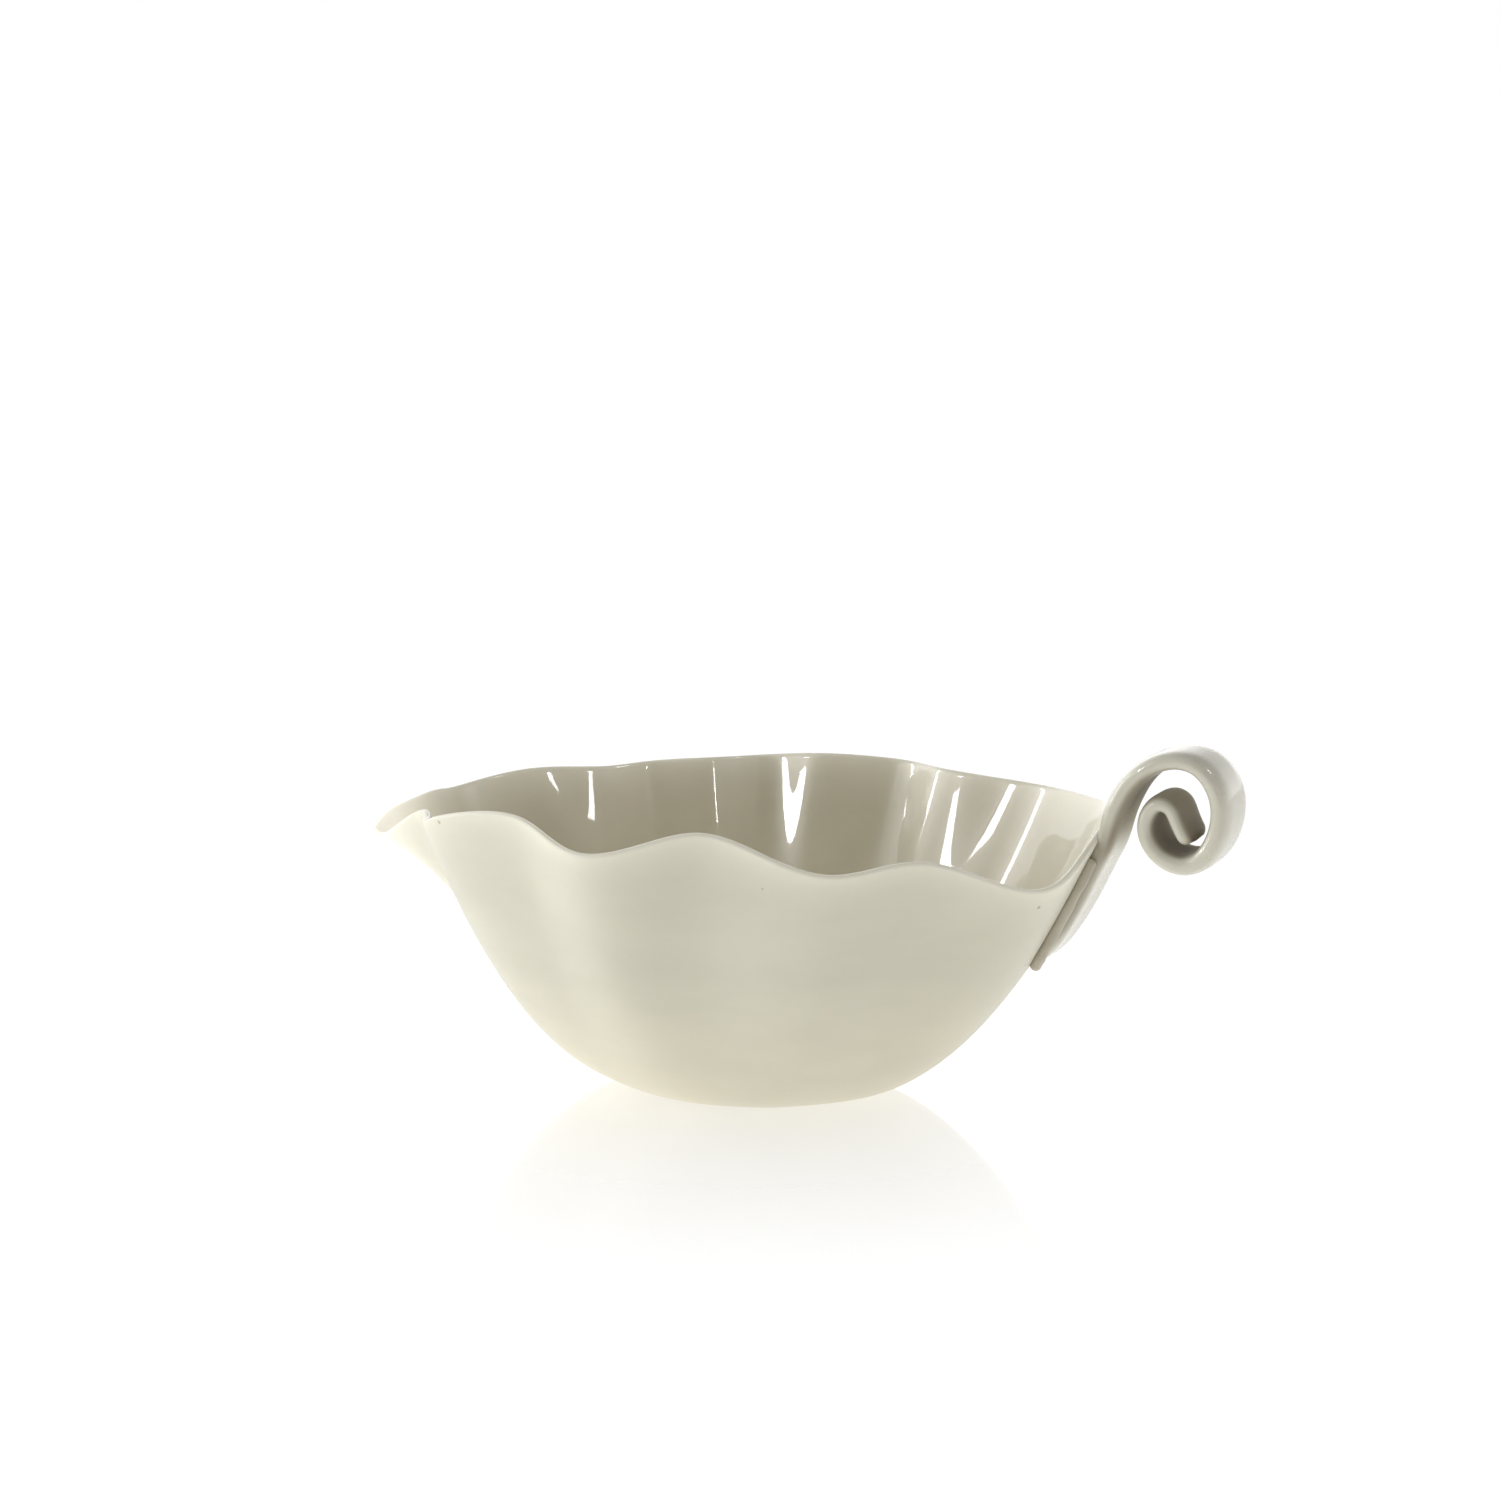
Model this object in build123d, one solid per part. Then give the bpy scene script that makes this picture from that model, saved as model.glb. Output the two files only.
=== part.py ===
from build123d import *
import math
import os
import numpy as np

# Hand-built porcelain sauce boat: fluted bowl, scrolled strap handle, luting slip.
# Millimetres, +Z up, +X toward the handle, origin on the table at the centre of the foot.

# ---- bowl: overall sizes ----
MOUTH_LENGTH = 154.0        # mean mouth, handle side to root of the spout
MOUTH_WIDTH = 122.0         # mean mouth, side to side
MOUTH_SHIFT = 2.0           # mouth centre lies this far toward the handle from the foot centre
RIM_HEIGHT = 62.0           # mean height of the rim
FOOT_LENGTH = 42.0
FOOT_WIDTH = 36.0
WALL_RIM = 1.6              # thickness at the lip
WALL_BASE = 2.8             # thickness over the foot
SPOUT_REACH = 13.0          # how far the pouring lip stands out past the mouth
SPOUT_DROP = 8.0            # how far the lip dips below the rim
WALL_FADE = 2.6             # flutes die away down the wall with this power
SPOUT_FADE = 9.0            # the spout dies away sooner

# Rim flutes: azimuth in degrees, radius beyond the mean mouth, height beyond the mean rim.
FLUTES = [
    (0, 1.5, 3), (12, 1.5, 2), (26, 0.5, 0.5), (42, 1, -0.5), (60, -3, 0.5), (75, 4, 0), (90, -2, 1.5),
    (104, 1, 0), (116, -5, 0.5), (129, -3, -0.5), (140, -6, -0.5), (152, -3, 0), (165, -1, -1),
    (180, -1, -1.5), (196, -2, -2), (208, 0, 1.5), (231, -3, 6), (251, 2, 1.5), (272, -4, 6.5),
    (298, 0, -1), (317, -1, 0.5), (335, 3, -7), (348, 1.2, -2.5),
]
# Pouring lip: azimuth in degrees, share of the reach, share of the drop.
SPOUT = [
    (166, 0, 0), (172, 0.03, 0), (175.5, 0.27, 0.06), (178, 0.8, 0.5), (180, 1.0, 0.95),
    (182, 0.8, 1.0), (184.5, 0.3, 0.35), (188, 0.05, 0), (194, 0, 0),
]

# ---- handle ----
HANDLE_THICK = 4.4
HANDLE_WIDTH = 15.5
HANDLE_TURN = -9.0          # the strap was pressed on slightly turned about the vertical
PIVOT_IN = 18.0             # the turn is about a point this far in from the end of the mean mouth
HANDLE_PIVOT = MOUTH_LENGTH / 2 - PIVOT_IN
GROOVE = 0.5                # thumb groove along the outer face
ROOT_SINK = 0.6             # the root keys into the wall by this share of its thickness
PRESS_TOP = 0.9             # above this share of the rim height the root keeps its dish
NECK_START = 2.0            # the dish begins to die away this far before the neck
NECK_FADE = 13.0            # and is gone after this length of strap
SCROLL_REACH = 5.727        # the scroll stands out from the neck by this many thicknesses
TIP_ROUND = 2.2             # length of the rounded tongue end
# Root of the strap from its tail to the neck, pressed along the wall:
# share of the rim height, share of the width, of the thickness and of the sink.
HANDLE_ROOT = [
    (0.542, 0.62, 0.55, 0.05), (0.594, 0.82, 0.95, 0.64), (0.661, 0.96, 1.15, 1.0),
    (0.739, 1.0, 1.2, 1.0), (0.819, 1.0, 1.2, 1.0), (0.903, 1.0, 1.2, 1.0), (0.981, 1.0, 1.2, 1.0),
]
# Scroll from the neck over the top and in to the tongue: out and up from the neck as shares of
# the reach, share of the width, share of the thickness.
HANDLE_SCROLL = [
    (0.056, 0.194, 1.00, 1.18), (0.132, 0.377, 1.00, 1.15), (0.231, 0.532, 1.00, 1.08),
    (0.358, 0.651, 1.00, 1.02), (0.497, 0.722, 0.98, 0.96), (0.647, 0.746, 0.98, 0.93),
    (0.798, 0.714, 1.00, 0.96), (0.929, 0.599, 1.00, 1.04), (1.005, 0.425, 1.00, 1.10),
    (1.005, 0.222, 1.00, 1.11), (0.941, 0.044, 1.00, 1.11), (0.834, -0.083, 0.98, 1.10),
    (0.695, -0.131, 0.98, 1.10), (0.548, -0.099, 0.97, 1.05), (0.429, -0.004, 0.96, 0.98),
    (0.366, 0.139, 0.95, 0.94), (0.390, 0.286, 0.94, 0.92), (0.481, 0.369, 0.93, 0.90),
    (0.568, 0.345, 0.92, 0.86), (0.628, 0.246, 0.90, 0.83), (0.679, 0.139, 0.88, 0.82),
    (0.739, 0.040, 0.86, 0.80),
]

# ---- luting slip ----
SLIP_RADIUS = 1.2
SLIP_BITE = 0.35            # how far the bead keys into the wall
# Bead down one edge of the strap, round the tail and up the other edge:
# share of half the strap's width, share of the rim height, share of the radius.
SLIP_PATH = [
    (-1.065, 0.945, 0.8), (-1.1, 0.887, 1), (-1.1, 0.806, 1), (-1.077, 0.726, 1),
    (-1.006, 0.645, 1), (-0.839, 0.574, 1), (-0.483, 0.526, 1), (-0.046, 0.513, 1),
    (0.406, 0.526, 1), (0.78, 0.577, 1), (0.958, 0.648, 1), (0.996, 0.726, 1),
    (1.028, 0.806, 1), (1.07, 0.887, 1), (1.123, 0.968, 1.1), (1.168, 1.023, 1.3),
]

# ---- how finely the lofts are cut ----
RING_POINTS = 112
# Levels up the wall close up toward the lip, so that the loft passes round it without ripples.
LEVELS = [
    0.03, 0.08, 0.14, 0.21, 0.29, 0.37, 0.45, 0.53, 0.61, 0.69, 0.76, 0.82, 0.87, 0.908, 0.938,
    0.96, 0.975, 0.986, 0.994,
]
STRAP_SECTIONS = 72
STRAP_POINTS = 28
ROOT_SPAN = 30              # degrees of wall looked at on each side of the strap


def ring_spline(stations, column, azimuth):
    """Periodic cubic in azimuth through one column of a station list."""
    knots = np.array([s[0] for s in stations], float)
    values = np.array([s[column] for s in stations], float)
    steps = np.append(np.diff(knots), knots[0] + 360 - knots[-1])
    count = len(knots)
    matrix = np.zeros((count, count))
    right = np.zeros(count)
    for i in range(count):
        before, after = steps[i - 1], steps[i]
        ahead = (i + 1) % count
        matrix[i, i - 1] += after
        matrix[i, i] += 2 * (before + after)
        matrix[i, ahead] += before
        rise_after = (values[ahead] - values[i]) / after
        rise_before = (values[i] - values[i - 1]) / before
        right[i] = 3 * (before * rise_after + after * rise_before)
    slopes = np.linalg.solve(matrix, right)
    turned = np.mod(azimuth - knots[0], 360)
    left = np.cumsum(np.append(0, steps[:-1]))
    k = np.searchsorted(left, turned, side="right") - 1
    nxt = (k + 1) % count
    h = steps[k]
    s = (turned - left[k]) / h
    ends = values[k] * (1 + 2 * s) * (1 - s) ** 2 + values[nxt] * s * s * (3 - 2 * s)
    return ends + h * (slopes[k] * s * (1 - s) ** 2 + slopes[nxt] * s * s * (s - 1))


def bump_spline(stations, column, azimuth):
    """Smooth steps between the stations, zero outside them."""
    knots = np.array([s[0] for s in stations], float)
    values = np.array([s[column] for s in stations], float)
    slopes = np.gradient(values, knots)
    slopes[0] = 0
    slopes[-1] = 0
    a = np.clip(azimuth, knots[0], knots[-1])
    k = np.clip(np.searchsorted(knots, a, side="right") - 1, 0, len(knots) - 2)
    h = knots[k + 1] - knots[k]
    s = (a - knots[k]) / h
    ends = values[k] * (1 + 2 * s) * (1 - s) ** 2 + values[k + 1] * s * s * (3 - 2 * s)
    return ends + h * (slopes[k] * s * (1 - s) ** 2 + slopes[k + 1] * s * s * (s - 1))


def ellipse(length, width, azimuth):
    """Points on an ellipse at the given azimuths, shape (n, 2)."""
    a = np.radians(azimuth)
    radius = 1 / np.sqrt((np.cos(a) / (length / 2)) ** 2 + (np.sin(a) / (width / 2)) ** 2)
    return np.stack([radius * np.cos(a), radius * np.sin(a)], -1)


def outer_wall(azimuth, t):
    """Outer face of the bowl: t is 0 at the foot and 1 just under the lip."""
    a = np.radians(azimuth)
    outward = np.stack([np.cos(a), np.sin(a)], -1)
    foot = ellipse(FOOT_LENGTH, FOOT_WIDTH, azimuth)
    mouth = ellipse(MOUTH_LENGTH, MOUTH_WIDTH, azimuth) + np.array([MOUTH_SHIFT, 0.0])
    flute = ring_spline(FLUTES, 1, azimuth)
    reach = SPOUT_REACH * bump_spline(SPOUT, 1, azimuth)
    drop = SPOUT_DROP * bump_spline(SPOUT, 2, azimuth)
    height = RIM_HEIGHT + ring_spline(FLUTES, 2, azimuth) - WALL_RIM / 2
    push = flute * t ** WALL_FADE + reach * t ** SPOUT_FADE
    plan = foot + (mouth - foot) * t + outward * push[:, None]
    z = height * (0.06 * t + 0.94 * t ** 2.25) - drop * t ** SPOUT_FADE
    return np.column_stack([plan, z])


def wall_frame(azimuth, t):
    """Point, outward normal and upward direction of the outer face."""
    point = outer_wall(azimuth, t)
    around = outer_wall(azimuth + 0.05, t) - outer_wall(azimuth - 0.05, t)
    up = outer_wall(azimuth, t + 0.002) - outer_wall(azimuth, max(t - 0.002, 0.0))
    normal = np.cross(around, up)
    normal /= np.linalg.norm(normal, axis=1)[:, None]
    up /= np.linalg.norm(up, axis=1)[:, None]
    return point, normal, up


def ring_azimuths(count):
    """Azimuths spaced evenly along the rim, one of them at the very tip of the spout."""
    fine = np.linspace(0, 360, 7201)
    rim = outer_wall(np.mod(fine, 360), 1.0)
    run = np.append(0, np.cumsum(np.linalg.norm(np.diff(rim, axis=0), axis=1)))
    step = run[-1] / count
    first = np.interp(180, fine, run) % step
    return np.interp(first + np.arange(count) * step, run, fine)


def closed_wire(points):
    """Smooth closed wire; equal parameters keep every section of a loft alike."""
    count = len(points)
    parameters = [i / count for i in range(count + 1)]
    vectors = [Vector(*p) for p in points]
    return Wire([Edge.make_spline(vectors, periodic=True, parameters=parameters)])


def make_bowl():
    """Side surface from the foot over the lip to the inner floor, closed by two flat faces."""
    azimuth = ring_azimuths(RING_POINTS)
    rings = [outer_wall(azimuth, t) for t in [0.0] + LEVELS]
    point, normal, up = wall_frame(azimuth, 1.0)
    middle = point - normal * WALL_RIM / 2
    for step in range(5):
        turn = math.pi * step / 4
        rings.append(middle + WALL_RIM / 2 * (normal * math.cos(turn) + up * math.sin(turn)))
    for t in LEVELS[:1:-1]:
        point, normal, up = wall_frame(azimuth, t)
        rings.append(point - normal * (WALL_RIM + (WALL_BASE - WALL_RIM) * (1 - t) ** 2))
    floor = ellipse(0.94 * FOOT_LENGTH, 0.94 * FOOT_WIDTH, azimuth)
    rings.append(np.column_stack([floor, np.full(len(azimuth), WALL_BASE)]))
    return Solid.make_loft([closed_wire(r) for r in rings])


def path_spline(stations, count):
    """Cubic through the stations by chord length; returns evenly spaced rows."""
    p = np.array(stations, float)
    h = np.linalg.norm(np.diff(p[:, :2], axis=0), axis=1)
    size = len(p)
    matrix = np.zeros((size, size))
    right = np.zeros_like(p)
    matrix[0, 0], matrix[0, 1] = 2, 1
    matrix[-1, -1], matrix[-1, -2] = 2, 1
    right[0] = 3 * (p[1] - p[0]) / h[0]
    right[-1] = 3 * (p[-1] - p[-2]) / h[-1]
    for i in range(1, size - 1):
        matrix[i, i - 1] = h[i]
        matrix[i, i] = 2 * (h[i - 1] + h[i])
        matrix[i, i + 1] = h[i - 1]
        rise = h[i] * (p[i] - p[i - 1]) / h[i - 1] + h[i - 1] * (p[i + 1] - p[i]) / h[i]
        right[i] = 3 * rise
    slopes = np.linalg.solve(matrix, right)
    run = np.append(0, np.cumsum(h))
    u = np.linspace(0, run[-1], count)
    k = np.clip(np.searchsorted(run, u, side="right") - 1, 0, size - 2)
    hk = h[k][:, None]
    s = (u - run[k])[:, None] / hk
    ends = p[k] * (1 + 2 * s) * (1 - s) ** 2 + p[k + 1] * s * s * (3 - 2 * s)
    return ends + hk * (slopes[k] * s * (1 - s) ** 2 + slopes[k + 1] * s * s * (s - 1)), u


def root_wall():
    """The outer wall round the root in the handle's own plane, before the handle is turned."""
    azimuth = np.linspace(-ROOT_SPAN, ROOT_SPAN, 2 * ROOT_SPAN + 1)
    grid = np.stack([outer_wall(azimuth, t) for t in np.linspace(0.4, 1.0, 251)])
    turn = math.radians(-HANDLE_TURN)
    out = grid[..., 0] - HANDLE_PIVOT
    x = HANDLE_PIVOT + out * math.cos(turn) - grid[..., 1] * math.sin(turn)
    y = out * math.sin(turn) + grid[..., 1] * math.cos(turn)
    return azimuth, x, y, grid[..., 2]


def wall_line(wall, z):
    """The wall at one height: its azimuths, and how far across and out they lie."""
    azimuth, x, y, height = wall
    across = np.array([np.interp(z, h, v) for h, v in zip(height.T, y.T)])
    out = np.array([np.interp(z, h, v) for h, v in zip(height.T, x.T)])
    return azimuth, across, out


def handle_stations(wall):
    """Middle of the strap: its root stands on the wall and its scroll goes on from the neck."""
    rows = []
    for height, width, thick, sink in HANDLE_ROOT:
        z = height * RIM_HEIGHT
        _, across, out = wall_line(wall, z)
        _, across_below, out_below = wall_line(wall, z - 1)
        here = np.interp(0, across, out)
        slant = math.hypot(1, here - np.interp(0, across_below, out_below))
        off = thick * HANDLE_THICK / 2 - sink * ROOT_SINK * WALL_RIM
        rows.append((here + off * slant, z, width * HANDLE_WIDTH, thick * HANDLE_THICK))
    neck_x, neck_z = rows[-1][:2]
    reach = SCROLL_REACH * HANDLE_THICK
    for dx, dz, width, thick in HANDLE_SCROLL:
        rows.append((neck_x + dx * reach, neck_z + dz * reach, width * HANDLE_WIDTH, thick * HANDLE_THICK))
    return np.array(rows)


def strap_loft(rows, run, neck, wall):
    """Loft of rounded strap sections standing across a path in the XZ plane. The inner face of the
    root is dished to the wall and its outer face keeps its plane."""
    tangent = np.gradient(rows[:, :2], run, axis=0)
    tangent /= np.linalg.norm(tangent, axis=1)[:, None]
    side = np.column_stack([tangent[:, 1], -tangent[:, 0]])
    turn = 2 * math.pi * np.arange(STRAP_POINTS) / STRAP_POINTS
    across = np.sign(np.cos(turn)) * np.abs(np.cos(turn)) ** 0.5
    through = np.sign(np.sin(turn)) * np.abs(np.sin(turn)) ** 0.8
    wires = []
    for (x, z, width, thick), (sx, sz), here in zip(rows, side, run):
        left = max(run[-1] - here, 0.0)
        end = 1.0
        if left < TIP_ROUND:
            end = math.sqrt(max(1 - (1 - left / TIP_ROUND) ** 2, 0.06))
        half_width = width * (0.55 + 0.45 * end) / 2
        half_thick = thick * end / 2
        dip = GROOVE * end * (1 - across ** 2) ** 2 * (through > 0)
        off = through * half_thick - dip
        s = min(max((here - neck + NECK_START) / NECK_FADE, 0.0), 1.0)
        if s < 1:
            _, line, out = wall_line(wall, min(z, PRESS_TOP * RIM_HEIGHT))
            ease = np.interp(half_width * across, line, out) - np.interp(0, line, out)
            off = off + ease * (1 - through) / 2 * sx * (1 - s * s * (3 - 2 * s))
        wires.append(closed_wire(np.column_stack([x + sx * off, across * half_width, z + sz * off])))
    return Solid.make_loft(wires)


def turned(solid):
    """The handle's own plane, turned about the upright line through its pivot."""
    return solid.rotate(Axis((HANDLE_PIVOT, 0, 0), (0, 0, 1)), HANDLE_TURN)


def make_strap(wall):
    """The whole strap before the wall is cut out of it."""
    stations = handle_stations(wall)
    rows, run = path_spline(stations, STRAP_SECTIONS)
    root = stations[:len(HANDLE_ROOT), :2]
    neck = np.linalg.norm(np.diff(root, axis=0), axis=1).sum()
    return turned(strap_loft(rows, run, neck, wall))


def wall_at(azimuth, z):
    """Point and outward normal of the outer wall at one azimuth and height."""
    levels = np.linspace(0.5, 1.0, 251)
    spot = np.array([azimuth])
    heights = [outer_wall(spot, t)[0, 2] for t in levels]
    point, normal, _ = wall_frame(spot, float(np.interp(z, heights, levels)))
    return point[0], normal[0]


def make_slip(wall):
    """Bead of slip squeezed out round the root of the strap, fired to it and to the wall."""
    middles = []
    normals = []
    for across, height, _ in SLIP_PATH:
        z = height * RIM_HEIGHT
        azimuth, line, _ = wall_line(wall, z)
        point, normal = wall_at(np.interp(across * HANDLE_WIDTH / 2, line, azimuth), z)
        middles.append(point + normal * (SLIP_RADIUS - SLIP_BITE))
        normals.append(normal)
    middles = np.array(middles)
    along = np.gradient(middles, axis=0)
    wires = []
    turn = 2 * math.pi * np.arange(12) / 12
    for middle, normal, ahead, (_, _, share) in zip(middles, normals, along, SLIP_PATH):
        ahead = ahead / np.linalg.norm(ahead)
        across = np.cross(ahead, normal)
        across /= np.linalg.norm(across)
        outward = np.cross(across, ahead)
        ring = np.outer(np.cos(turn), outward) + np.outer(np.sin(turn), across)
        wires.append(closed_wire(middle + SLIP_RADIUS * share * ring))
    return Solid.make_loft(wires)


def main():
    os.makedirs("parts", exist_ok=True)
    bowl = make_bowl()
    wall = root_wall()
    strap = make_strap(wall)
    handle = strap - bowl
    slip = make_slip(wall)
    for name, solid in (("bowl", bowl), ("handle", handle), ("luting_slip", slip)):
        export_step(solid, f"parts/{name}.step")
        box = solid.bounding_box()
        print(name, len(solid.solids()), "solid", round(solid.volume), "mm3", solid.is_valid,
              [round(v, 1) for v in (*box.min, *box.max)])


if __name__ == "__main__":
    main()
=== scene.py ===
import math

import bpy
import numpy as np
from bpy.props import FloatProperty, FloatVectorProperty, IntProperty, PointerProperty
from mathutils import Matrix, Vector


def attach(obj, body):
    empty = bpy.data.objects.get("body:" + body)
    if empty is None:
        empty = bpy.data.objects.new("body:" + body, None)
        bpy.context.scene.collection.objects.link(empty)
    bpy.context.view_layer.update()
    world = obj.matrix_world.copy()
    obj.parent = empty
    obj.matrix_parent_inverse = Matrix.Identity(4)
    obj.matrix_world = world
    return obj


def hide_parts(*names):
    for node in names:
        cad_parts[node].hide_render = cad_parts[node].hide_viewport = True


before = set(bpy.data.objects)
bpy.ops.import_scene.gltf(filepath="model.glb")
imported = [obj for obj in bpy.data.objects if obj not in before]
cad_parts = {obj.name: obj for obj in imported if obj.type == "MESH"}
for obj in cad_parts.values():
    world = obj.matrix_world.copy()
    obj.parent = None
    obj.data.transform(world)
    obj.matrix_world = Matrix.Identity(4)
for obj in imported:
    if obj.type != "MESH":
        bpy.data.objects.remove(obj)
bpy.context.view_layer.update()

MM = 0.001

bl_info = {
    "name": "Fluted Porcelain Sauce Boat",
    "version": (1, 0, 0),
    "blender": (4, 5, 0),
    "location": "View3D > Sidebar > Sauce Boat",
    "description": "Builds a hand-shaped porcelain sauce boat with a scrolled strap handle",
    "category": "Add Mesh",
}

# Rim flutes: azimuth in degrees, then millimetres beyond the mean mouth and beyond the mean rim.
FLUTES = [
    (0, 1.5, 3), (12, 1.5, 2), (26, 0.5, 0.5), (42, 1, -0.5), (60, -3, 0.5), (75, 4, 0),
    (90, -2, 1.5), (104, 1, 0), (116, -5, 0.5), (129, -3, -0.5), (140, -6, -0.5), (152, -3, 0),
    (165, -1, -1), (180, -1, -1.5), (196, -2, -2), (208, 0, 1.5), (231, -3, 6), (251, 2, 1.5),
    (272, -4, 6.5), (298, 0, -1), (317, -1, 0.5), (335, 3, -7), (348, 1.2, -2.5),
]
# Pouring lip: azimuth in degrees, share of the reach, share of the drop.
SPOUT = [
    (166, 0, 0), (172, 0.03, 0), (175.5, 0.27, 0.06), (178, 0.8, 0.5), (180, 1.0, 0.95),
    (182, 0.8, 1.0), (184.5, 0.3, 0.35), (188, 0.05, 0), (194, 0, 0),
]
# Root of the strap from its tail to the neck, pressed along the wall:
# share of the rim height, share of the width, of the thickness and of the sink.
HANDLE_ROOT = [
    (0.542, 0.62, 0.55, 0.05), (0.594, 0.82, 0.95, 0.64), (0.661, 0.96, 1.15, 1.0),
    (0.739, 1.0, 1.2, 1.0), (0.819, 1.0, 1.2, 1.0), (0.903, 1.0, 1.2, 1.0), (0.981, 1.0, 1.2, 1.0),
]
# Scroll from the neck over the top and in to the tongue: out and up from the neck as shares of
# the reach, share of the width, share of the thickness.
HANDLE_SCROLL = [
    (0.056, 0.194, 1.00, 1.18), (0.132, 0.377, 1.00, 1.15), (0.231, 0.532, 1.00, 1.08),
    (0.358, 0.651, 1.00, 1.02), (0.497, 0.722, 0.98, 0.96), (0.647, 0.746, 0.98, 0.93),
    (0.798, 0.714, 1.00, 0.96), (0.929, 0.599, 1.00, 1.04), (1.005, 0.425, 1.00, 1.10),
    (1.005, 0.222, 1.00, 1.11), (0.941, 0.044, 1.00, 1.11), (0.834, -0.083, 0.98, 1.10),
    (0.695, -0.131, 0.98, 1.10), (0.548, -0.099, 0.97, 1.05), (0.429, -0.004, 0.96, 0.98),
    (0.366, 0.139, 0.95, 0.94), (0.390, 0.286, 0.94, 0.92), (0.481, 0.369, 0.93, 0.90),
    (0.568, 0.345, 0.92, 0.86), (0.628, 0.246, 0.90, 0.83), (0.679, 0.139, 0.88, 0.82),
    (0.739, 0.040, 0.86, 0.80),
]
# Bead of slip down one edge of the strap, round the tail and up the other edge:
# share of half the strap's width, share of the rim height, share of the radius.
SLIP_PATH = [
    (-1.065, 0.945, 0.8), (-1.1, 0.887, 1), (-1.1, 0.806, 1), (-1.077, 0.726, 1),
    (-1.006, 0.645, 1), (-0.839, 0.574, 1), (-0.483, 0.526, 1), (-0.046, 0.513, 1),
    (0.406, 0.526, 1), (0.78, 0.577, 1), (0.958, 0.648, 1), (0.996, 0.726, 1),
    (1.028, 0.806, 1), (1.07, 0.887, 1), (1.123, 0.968, 1.1), (1.168, 1.023, 1.3),
]
# Shares of the radius at which rings cross the flat foot and the floor inside.
DISC_RINGS = (0.12, 0.3, 0.5, 0.68, 0.82, 0.92, 0.975)
# Hollows left by fingers, as products of two waves: height, then for each wave its turns round
# the bowl, its turns up the wall and how much of the seed it takes.
HOLLOWS = [
    (1.0, (3, 5.1, 1.0), (2, -7.3, 1.7)),
    (0.7, (7, 9.1, 2.3), (5, -6.7, 0.4)),
    (0.45, (13, -15.0, 1.0), (11, 12.0, 3.1)),
]
# Studio lights: azimuth and elevation in degrees, width and height in metres, radiance.
SOFTBOXES = {
    "left_window": (-136, 21, 0.11, 0.15, 37.0),
    "right_window": (-43, 17, 0.06, 0.12, 20.0),
    "low_left": (-158, 5, 0.14, 0.12, 20.0),
    "side_strip": (176, 17, 0.09, 0.40, 14.0),
    "top_back": (16, 46, 0.12, 0.12, 16.0),
}
LIGHT_REACH = 1.2
LIGHT_TARGET = (0.0, 0.0, 0.05)


# ---- settings ----

def length(name, text, millimetres):
    """A length property, stored in metres."""
    return FloatProperty(name=name, description=text, default=millimetres * MM, min=0.0,
                         subtype="DISTANCE", unit="LENGTH", precision=4)


def share(name, text, value, low=0.0, high=10.0):
    """A plain number without a unit."""
    return FloatProperty(name=name, description=text, default=value, min=low, max=high)


def colour(name, text, value):
    """A linear colour."""
    return FloatVectorProperty(name=name, description=text, default=value, size=3, min=0.0,
                               max=1.0, subtype="COLOR")


def turn(name, text, degrees):
    """An angle property, stored in radians."""
    return FloatProperty(name=name, description=text, default=math.radians(degrees),
                         subtype="ANGLE", unit="ROTATION")


class BowlSettings(bpy.types.PropertyGroup):
    """Sizes of the bowl, its spout and its hand-made skin"""
    mouth_length: length("Mouth length", "Mean mouth from handle to root of the lip", 154.0)
    mouth_width: length("Mouth width", "Mean mouth from side to side", 122.0)
    mouth_shift: length("Mouth shift", "Mouth centre beyond the foot's, toward the handle", 2.0)
    rim_height: length("Rim height", "Mean height of the rim", 62.0)
    foot_length: length("Foot length", "Flat foot, end to end", 42.0)
    foot_width: length("Foot width", "Flat foot, side to side", 36.0)
    wall_rim: length("Wall at rim", "Thickness at the lip", 1.6)
    wall_base: length("Wall at base", "Thickness over the foot", 2.8)
    spout_reach: length("Spout reach", "Pouring lip beyond the mouth", 13.0)
    spout_drop: length("Spout drop", "Dip of the pouring lip", 8.0)
    wall_fade: share("Flute fade", "Power with which the flutes die away down the wall", 2.6)
    spout_fade: share("Spout fade", "Power with which the spout dies away down the wall", 9.0)
    belly_slope: share("Belly slope", "Share of the height that rises straight from the foot", 0.06)
    belly_power: share("Belly power", "Power with which the rest of the height rises", 2.25)
    unevenness: length("Unevenness", "Depth of the hand-smoothed hollows in the wall", 0.22)
    skin_inset: length("Skin inset", "The glazed skin lies this far inside the solid", 0.04)
    steps_around: IntProperty(name="Steps around", description="Columns of the bowl's grid",
                              default=640, min=64, max=1200)
    steps_up: IntProperty(name="Steps up", description="Rows on each face of the wall",
                          default=56, min=16, max=120)
    steps_lip: IntProperty(name="Steps over the lip", description="Rows over the round of the rim",
                           default=11, min=3, max=31)


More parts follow.
